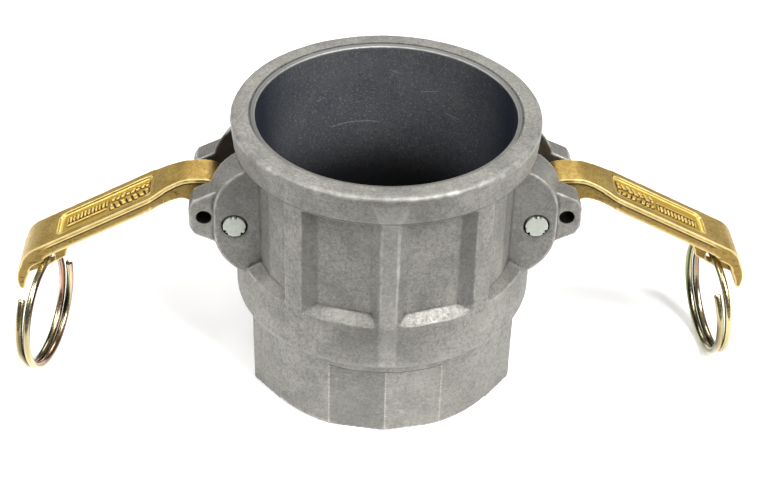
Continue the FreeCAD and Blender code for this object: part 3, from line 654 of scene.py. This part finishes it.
def panel_pattern(u, v):
    """Raised ribs and dashes in the sunk panel: u along the arm from the neck (mm), v across. Height 0..1."""
    h = np.zeros(len(u))
    # fine cross ribs over the half towards the tip
    ribs = smoothstep(-0.25, 0.30, np.cos(2 * math.pi * (u - 14.6) / 1.08)) * smoothstep(14.2, 14.6, u) * smoothstep(26.7, 26.2, u)
    ribs *= smoothstep(1.25, 0.90, np.abs(v + 0.95))
    h = np.maximum(h, ribs)
    # slanted dashes in two rows over the half towards the neck
    for row, (vc, half, pitch, lean) in enumerate(((1.35, 1.35, 1.75, 0.35), (-1.75, 0.95, 1.45, -0.25))):
        w = (u + lean * (v - vc) - 2.6) / pitch
        k = np.round(w)
        bar = smoothstep(0.36, 0.24, np.abs(w - k)) * smoothstep(2.2, 2.6, u) * smoothstep(13.6, 13.2, u)
        top = half * (1.0 - 0.28 * (np.mod(k, 3) == 1))
        bar *= smoothstep(0.0, 0.3, top - np.abs(v - vc))
        # a notch in every other dash
        cut = (np.mod(k, 2) == 0) * smoothstep(0.28, 0.14, np.abs(v - vc + 0.15))
        h = np.maximum(h, bar * (1 - 0.9 * cut))
    # long thin line beside the ribs
    line = smoothstep(0.36, 0.20, np.abs(v - 1.2)) * smoothstep(14.3, 14.7, u) * smoothstep(26.7, 26.3, u)
    return np.maximum(h, 0.8 * line)


TOP_X = np.array([36.0, 44.8, 48.2, 50.0, 51.9, 54.6, 57.4, 88.9])
TOP_Z = np.array([57.0, 57.0, 57.0, 56.75, 56.1, 54.75, 53.15, 36.75])


def make_arm(side):
    sx = 1 if side == "right" else -1
    ob = copy_node("arm_" + side, "cam_arm_" + side)
    voxel = 0.20 * MM
    remesh(ob, voxel, smooth=3, factor=0.5)
    me = ob.data
    co, no = coords(me), normals(me)
    p = co / MM
    x, z = p[:, 0] * sx, p[:, 2]
    q = np.stack([x, z], 1)
    rel = q - SLOPE_A
    u = rel @ SLOPE_T
    dep = rel @ SLOPE_N
    v = p[:, 1] * sx           # the arms are the same casting turned half round
    up = no[:, 0] * sx * SLOPE_N[0] + no[:, 2] * SLOPE_N[1]
    inside = (dep < -0.42) & (dep > -1.2) & (np.abs(v) < 4.25) & (u > 0.4) & (u < 28.6)
    h = panel_pattern(u, v) * inside * (up > 0.6)
    d = 0.42 * h + 0.03 * wobble(p, 7.0, 11 + sx)
    # rounded corners of the sunk panel, wider at the neck end
    cu = np.where(u < 14, 0.9 + 2.6 - u, u - (28.0 - 1.3))
    cr_ = np.where(u < 14, 2.6, 1.3)
    cv = np.abs(v) - (4.3 - cr_)
    corner = smoothstep(-0.15, 0.15, np.hypot(np.maximum(cu, 0), np.maximum(cv, 0)) - cr_) * (cu > 0) * (cv > 0)
    corner *= (dep < -0.30) & (dep > -1.2) & (np.abs(v) < 4.45) & (u > 0.3) & (u < 28.7) & (up > 0.2)
    # hollowed sides under a thin flange, and a rounded lower edge
    below = (np.interp(x, TOP_X, TOP_Z) - z) * np.where(x > 55, 0.887, 1.0)
    half = np.interp(x, [28, 40.5, 42.5, 47, 52, 58.5, 95], [5.2, 5.2, 4.6, 4.6, 5.0, 6.5, 6.5])
    amount = np.interp(x, [41.5, 44.5, 53.0, 60.0, 84.0, 87.5], [0.0, 0.75, 0.75, 0.34, 0.34, 0.0])
    inset = amount * smoothstep(0.95, 1.45, below)
    low = np.clip(below - 2.55, 0, 1.69) * (x > 52) * smoothstep(88.5, 85.5, x) * smoothstep(52, 57, x)
    inset = inset + 1.7 - np.sqrt(np.maximum(1.7 ** 2 - low ** 2, 0.0))
    fin = (np.abs(p[:, 1]) < 1.4) & (x > 76) & (below > 4.3)
    scale = np.where(fin, 1.0, 1 - inset / half)
    keep = np.hypot(x - 37.3, z - 49.0) > 4.0
    keep &= np.hypot(x - 86.4, z - 30.9) > 2.4
    co += no * (d * keep * MM)[:, None]
    lift = corner * np.maximum(-dep - 0.02, 0) * MM
    co[:, 0] += lift * SLOPE_N[0] * sx
    co[:, 2] += lift * SLOPE_N[1]
    co[:, 1] *= np.where(keep, scale, 1.0)
    set_coords(me, co)
    store(me, "hollow", hollow_depth(me, 14))
    # panel floor, and its walls, which get a painted highlight
    floor = smoothstep(0.35, 0.55, -dep) * ((np.abs(v) < 4.45) & (u > 0.2) & (u < 28.8) & (dep > -1.4) & (below < 2))
    floor = floor * (1 - corner)
    edge_zone = (np.abs(v) > 3.75) | (u < 1.5) | (u > 27.5) | ((cu > 0) & (cv > 0) & (np.hypot(np.maximum(cu, 0), np.maximum(cv, 0)) > cr_ - 0.5))
    wall_highlight = floor * np.maximum(up < 0.85, edge_zone)
    # painted shadow in brown round the raised marks
    foot = smoothstep(0.02, 0.30, h) * smoothstep(0.92, 0.55, h)
    rel_attr = me.attributes.new("panel_floor_and_painted_light", "FLOAT_VECTOR", "POINT")
    rel_attr.data.foreach_set("vector", np.stack([floor, wall_highlight, foot], 1).astype(np.float32).reshape(-1))
    me.materials.append(BRASS)
    me.polygons.foreach_set("use_smooth", [True] * len(me.polygons))
    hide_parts("arm_" + side)
    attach(ob, "arm_%s_turning" % side)
    return ob


# ------------------------------------------------------------------ pins
def make_pin(side):
    sx = 1 if side == "right" else -1
    ob = copy_node("pin_" + side, "pivot_pin_" + side)
    co = coords(ob.data)
    cx, cz = 37.3 * sx * MM, 49.0 * MM
    k = 0.95
    co[:, 0] = cx + (co[:, 0] - cx) * k
    co[:, 2] = cz + (co[:, 2] - cz) * k
    set_coords(ob.data, co)
    remesh(ob, 0.16 * MM, smooth=2, factor=0.5)
    # notches where the head was staked
    co = coords(ob.data)
    dx, dz = co[:, 0] - cx, co[:, 2] - cz
    rad, th = np.hypot(dx, dz) / MM, np.arctan2(dz, dx * sx)
    cut = np.zeros(len(co))
    for th0 in (100.0, -28.0, 228.0):
        w = np.abs(np.mod(th - math.radians(th0) + math.pi, 2 * math.pi) - math.pi)
        cut = np.maximum(cut, smoothstep(0.17, 0.09, w))
    k = 1 - 0.17 * cut * smoothstep(2.0, 2.6, rad)
    co[:, 0] = cx + dx * k
    co[:, 2] = cz + dz * k
    set_coords(ob.data, co)
    ob.data.materials.append(PIN)
    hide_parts("pin_" + side)
    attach(ob, "coupling")
    return ob


# ------------------------------------------------------------------ gasket
def make_gasket():
    ob = copy_node("gasket", "gasket_ring")
    seg = 160
    prof = []
    for cx, cz, a0 in ((32.6, 22.95, -90), (32.6, 28.0, 0), (26.05, 28.0, 90), (26.05, 22.95, 180)):
        for i in range(5):
            a = math.radians(a0 + 90 * i / 4)
            prof.append((cx + 0.62 * math.cos(a), cz + 0.62 * math.sin(a)))
    rings = []
    for i in range(seg):
        a = 2 * math.pi * i / seg
        rings.append([(r * math.cos(a) * MM, r * math.sin(a) * MM, z * MM) for r, z in prof])
    me = mesh_from_rings("gasket_ring", rings)
    fix_normals(me)
    me.polygons.foreach_set("use_smooth", [True] * len(me.polygons))
    old = ob.data
    ob.data = me
    bpy.data.meshes.remove(old)
    me.materials.append(RUBBER)
    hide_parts("gasket")
    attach(ob, "coupling")
    return ob


# ------------------------------------------------------------------ pull rings
def paint_ring(me, centres, centre, w, seed):
    """Colour of the plated wire: streaks along the wire that shift slowly on the way round, partly the plating's own
    colours and partly painted reflections, light and dark.
    """
    cen = np.array([tuple(c) for c in centres])
    p = coords(me) / MM
    near = np.array([np.argmin(((cen - q) ** 2).sum(1)) for q in p])
    c = cen[near]
    o = p - c
    o /= np.maximum(np.linalg.norm(o, axis=1), 1e-9)[:, None]
    radial = c - np.array(tuple(centre))
    radial /= np.linalg.norm(radial, axis=1)[:, None]
    ang = np.arctan2(o @ np.array(tuple(w)), (o * radial).sum(1))
    along = near / len(centres) * 4 * math.pi
    a2 = ang + 0.5 * np.sin(along * 1.3 + seed) + 0.3 * np.sin(along * 3.1 + 2 * seed)
    cols = np.array([(0.60, 0.50, 0.22), (0.68, 0.66, 0.44), (0.13, 0.07, 0.03), (0.66, 0.38, 0.31),
                     (0.58, 0.55, 0.32), (0.022, 0.014, 0.010), (0.45, 0.52, 0.26), (0.68, 0.52, 0.33)])
    t = np.mod(a2 / (2 * math.pi), 1.0) * len(cols)
    i = np.floor(t).astype(int) % len(cols)
    f = (t - np.floor(t))[:, None]
    f = f * f * (3 - 2 * f)
    col = cols[i] * (1 - f) + cols[(i + 1) % len(cols)] * f
    # painted dark reflection in patches near the cut ends
    end = np.minimum(near, len(centres) - 1 - near) / len(centres)
    end_reflection_shade = smoothstep(0.035, 0.060, end) * smoothstep(0.125, 0.085, end) * (0.5 + 0.5 * np.cos(ang * 2 + seed))
    col = col * (1 - 0.85 * end_reflection_shade)[:, None]
    shade = 0.80 + 0.20 * np.sin(along * 2.3 + seed)[:, None]
    rgba = np.concatenate([col * shade, np.ones((len(p), 1))], 1)
    at = me.color_attributes.new("plating_and_reflection", "FLOAT_COLOR", "POINT")
    at.data.foreach_set("color", rgba.astype(np.float32).reshape(-1))


def make_ring(side):
    sx, psi, lean, phi = (-1, -13.6, 3.2, -17.0) if side == "left" else (1, 5.6, -5.4, 3.5)
    R, wr, cross = (15.2, 0.94, 20) if side == "left" else (14.85, 0.94, 70)
    p_, t_, c_ = (math.radians(x) for x in (psi, lean, phi))
    n0 = Vector((math.cos(p_), math.sin(p_), 0))
    a = Vector((math.sin(p_), -math.cos(p_), 0))
    b = Vector((0, 0, math.cos(t_))) + n0 * math.sin(t_)
    w = Vector((n0.x * math.cos(t_), n0.y * math.cos(t_), -math.sin(t_)))
    u = b * math.cos(c_) + a * math.sin(c_)
    v = w.cross(u)
    top = Vector((sx * 86.2, 0, 31.0))
    centre = top - u * R
    s0, s1 = math.radians(-297.0 if side == "left" else -312.0), math.radians(304.2)
    n, m = 300, 16
    centres = []
    for i in range(n + 1):
        s = s0 + (s1 - s0) * i / n
        k = max(-1.0, min(1.0, s / math.radians(cross)))
        off = 1.0 * math.sin(k * math.pi / 2)
        spread = max(0.0, (abs(s) - math.radians(235)) / math.radians(69))
        off += math.copysign(0.35 * spread * spread, s)
        rr = R + 0.06 * math.sin(2 * s)
        centres.append(centre + (u * math.cos(s) + v * math.sin(s)) * rr + w * off)
    rings = []
    for i, c in enumerate(centres):
        t = centres[min(i + 1, n)] - centres[max(i - 1, 0)]
        t.normalize()
        e1 = (c - centre).normalized()
        e1 = (e1 - t * e1.dot(t)).normalized()
        e2 = t.cross(e1)
        r_here = wr
        rings.append([(c + (e1 * math.cos(2 * math.pi * j / m) + e2 * math.sin(2 * math.pi * j / m)) * r_here) * MM for j in range(m)])

    def cap(ring, c, out):
        """Slightly rounded cut end."""
        extra = []
        for f, push in ((0.93, 0.06), (0.80, 0.12), (0.0, 0.13)):
            extra.append([(c + (Vector(q) / MM - c) * f + out * push) * MM for q in ring])
        return extra

    t0 = (centres[0] - centres[1]).normalized()
    t1 = (centres[-1] - centres[-2]).normalized()
    rings = list(reversed(cap(rings[0], centres[0], t0))) + rings + cap(rings[-1], centres[-1], t1)
    me = mesh_from_rings("pull_ring_" + side, rings, closed_v=False)
    bm = bmesh.new()
    bm.from_mesh(me)
    bmesh.ops.remove_doubles(bm, verts=bm.verts, dist=1e-7)
    bmesh.ops.recalc_face_normals(bm, faces=bm.faces)
    bm.to_mesh(me)
    bm.free()
    me.polygons.foreach_set("use_smooth", [True] * len(me.polygons))
    paint_ring(me, centres, centre, w, 5 if side == "left" else 9)
    ob = new_object("pull_ring_" + side, me)
    me.materials.append(RING)
    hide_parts("ring_" + side)
    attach(ob, "ring_%s_swinging" % side)
    return ob


make_body()
make_gasket()
for side in ("left", "right"):
    make_pin(side)
    make_arm(side)
    make_ring(side)


# ------------------------------------------------------------------ stage, light and camera
def pale_floor():
    s = Nodes("pale_floor")
    n = s.noise(0.01, 2, 0.5)
    s.link(s.mix(n, (0.90, 0.90, 0.90), (0.93, 0.93, 0.93)), s.b.inputs["Base Color"])
    s.b.inputs["Roughness"].default_value = 0.8
    s.b.inputs["Emission Color"].default_value = (1, 1, 1, 1)
    s.b.inputs["Emission Strength"].default_value = 0.24
    me = bpy.data.meshes.new("floor")
    h = 4.0
    me.from_pydata([(-h, -h, -0.0002), (h, -h, -0.0002), (h, h, -0.0002), (-h, h, -0.0002)], [], [(0, 1, 2, 3)])
    me.materials.append(s.mat)
    ob = new_object("floor", me)
    return ob


pale_floor()

world = bpy.data.worlds.new("studio")
scene.world = world
world.use_nodes = True
bg = world.node_tree.nodes["Background"]
bg.inputs["Color"].default_value = (0.97, 0.985, 1.0, 1)
bg.inputs["Strength"].default_value = 0.14


def area(name, loc, target, size, power, colour=(1, 1, 1)):
    li = bpy.data.lights.new(name, "AREA")
    li.shape = "RECTANGLE"
    li.size, li.size_y = size
    li.energy = power
    li.color = colour
    ob = bpy.data.objects.new(name, li)
    scene.collection.objects.link(ob)
    ob.location = loc
    ob.rotation_euler = (Vector(target) - Vector(loc)).to_track_quat("-Z", "Y").to_euler()
    return ob


def soft_light(name, azimuth, height, distance, size, irradiance):
    """Soft box seen from the object at the given azimuth (from the front towards +X) and height in degrees."""
    az, el = math.radians(azimuth), math.radians(height)
    loc = (distance * math.cos(el) * math.sin(az), -distance * math.cos(el) * math.cos(az), 0.04 + distance * math.sin(el))
    return area(name, loc, (0, 0, 0.04), (size, size), irradiance * math.pi * distance ** 2)


def flag():
    """Dark card that lies in front of the object, outside the picture, and keeps floor light off the upper walls."""
    s = Nodes("dark_card")
    n = s.noise(0.02, 2, 0.5)
    s.link(s.mix(n, (0.030, 0.030, 0.030), (0.036, 0.036, 0.036)), s.b.inputs["Base Color"])
    s.b.inputs["Roughness"].default_value = 0.9
    me = bpy.data.meshes.new("dark_card")
    me.from_pydata([(-0.5, -0.75, 0.0), (0.5, -0.75, 0.0), (0.5, -0.092, 0.0), (-0.5, -0.092, 0.0)], [], [(0, 1, 2, 3)])
    me.materials.append(s.mat)
    ob = new_object("dark_card", me)
    ob.visible_camera = False
    ob.visible_shadow = False
    return ob


flag()
soft_light("key_right", 44, 40, 2.0, 0.7, 2.6)
soft_light("fill_left", -80, 42, 2.0, 0.8, 1.6)
soft_light("front_right", 40, 59, 2.0, 0.5, 1.9)
soft_light("front_left", -24, 61, 2.0, 0.5, 0.6)
soft_light("back", 180, 50, 2.0, 1.0, 1.3)

cam = bpy.data.cameras.new("camera")
cam.sensor_width = 36.0
cam.lens = 1618.81 * 36.0 / 761.0
cam.clip_start, cam.clip_end = 0.01, 20
cam_ob = bpy.data.objects.new("camera", cam)
scene.collection.objects.link(cam_ob)
e_, roll, yaw = math.radians(36.401), math.radians(1.521), math.radians(-2.658)
back = Vector((math.sin(yaw) * math.cos(e_), -math.cos(yaw) * math.cos(e_), math.sin(e_)))
right = Vector((math.cos(yaw), math.sin(yaw), 0))
up = back.cross(right)
C = (right * -0.597 + Vector((0, 0, 32.725)) + back * 419.665) * MM
r_ = right * math.cos(roll) + up * math.sin(roll)
u_ = -right * math.sin(roll) + up * math.cos(roll)
cam_ob.matrix_world = Matrix((
    (r_.x, u_.x, back.x, C.x), (r_.y, u_.y, back.y, C.y), (r_.z, u_.z, back.z, C.z), (0, 0, 0, 1)))
scene.camera = cam_ob
